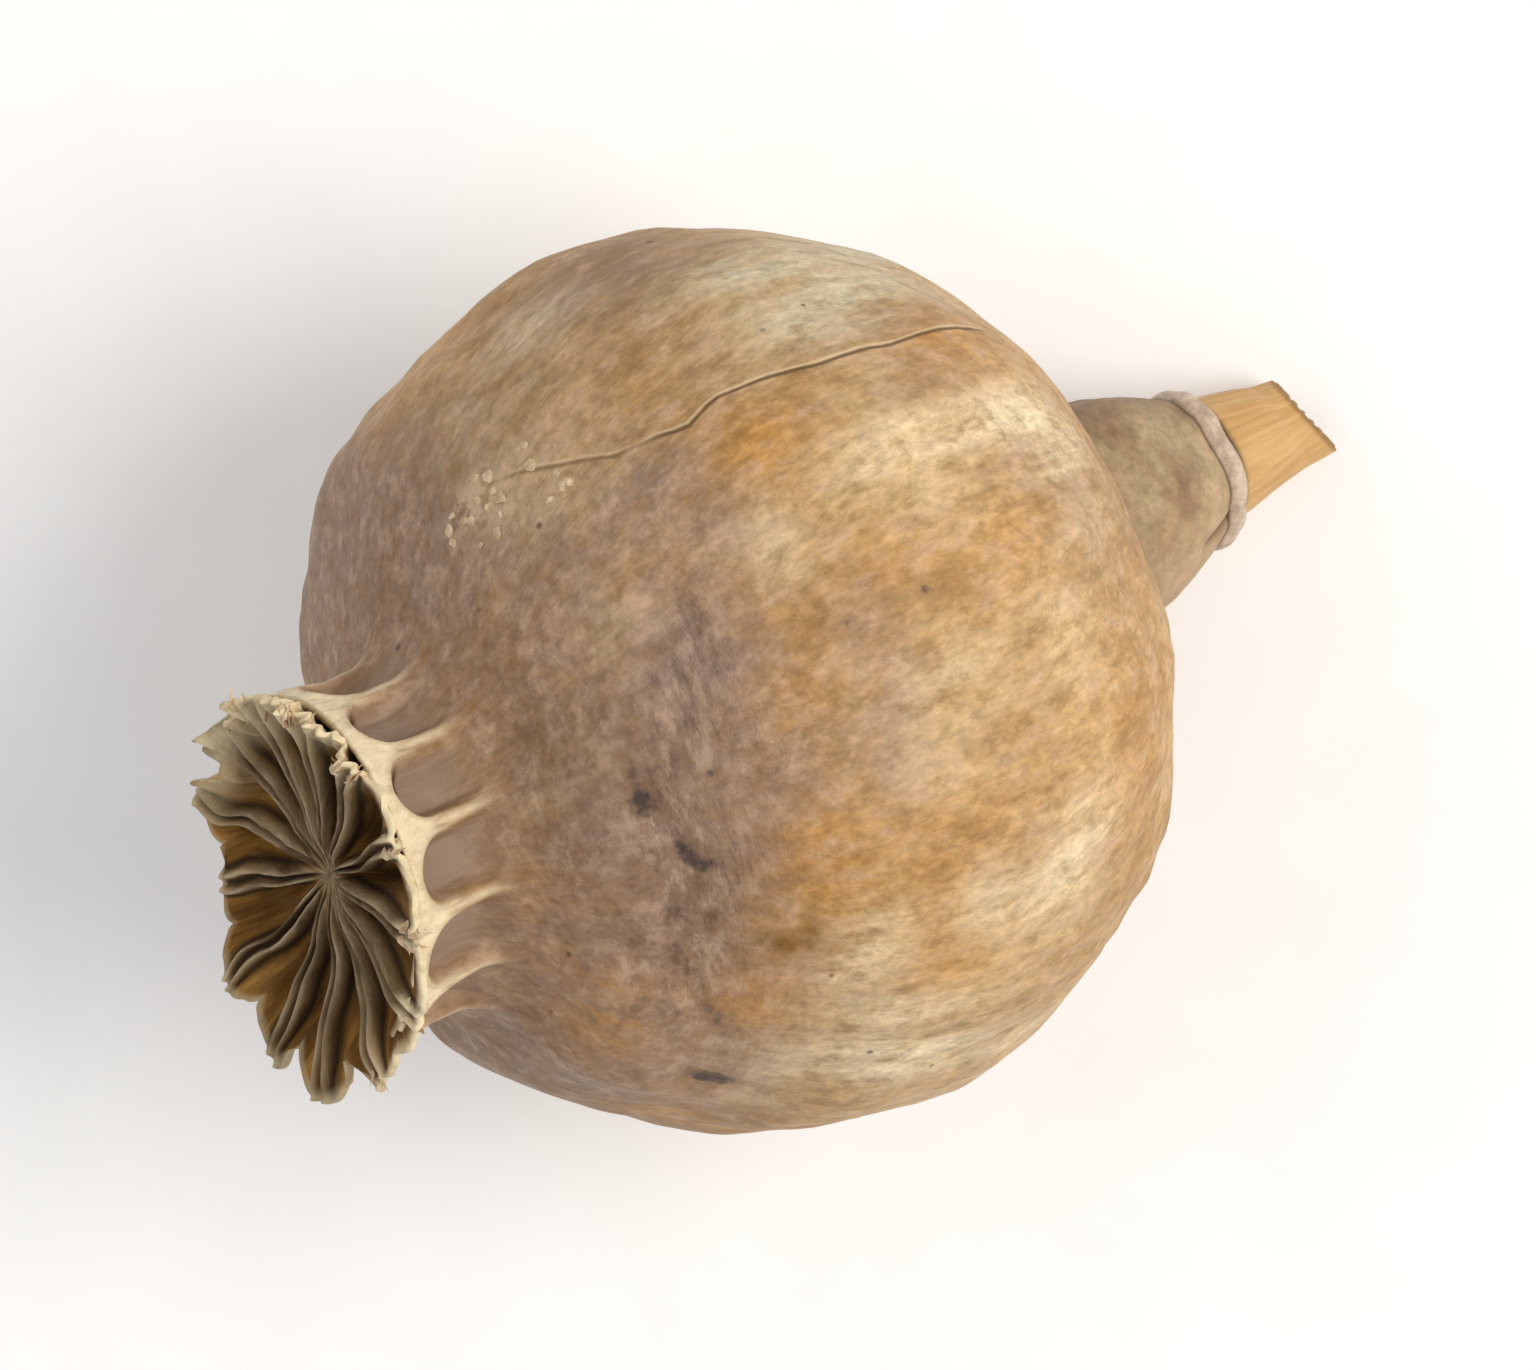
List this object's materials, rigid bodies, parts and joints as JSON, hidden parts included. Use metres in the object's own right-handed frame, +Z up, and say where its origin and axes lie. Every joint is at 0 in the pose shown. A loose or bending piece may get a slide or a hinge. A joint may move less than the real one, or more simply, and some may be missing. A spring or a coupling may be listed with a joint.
{
  "type": "dried poppy seed head",
  "caption": "Round dried seed pod lying on its side, with a ray-ridged crown on a neck of small windows at one end and a swollen, ringed, cut stalk at the other.",
  "frame": {"origin": "centre of the small flat spot under the pod's belly that the head rests on", "axes": "+Z up, +Y along the ground towards the cut stalk, which is the longest way, -Y towards the crown, X across the pod"},
  "size_m": [0.043, 0.0564, 0.042],
  "materials": {
    "pod": "satin, dry papery skin",
    "crown": "matte, dry pleated rays",
    "stalk": "satin, dry straw-like stalk"
  },
  "bodies": {
    "root": {"pod": "pod", "crown": "crown", "stalk": "stalk"}
  },
  "joints": []
}
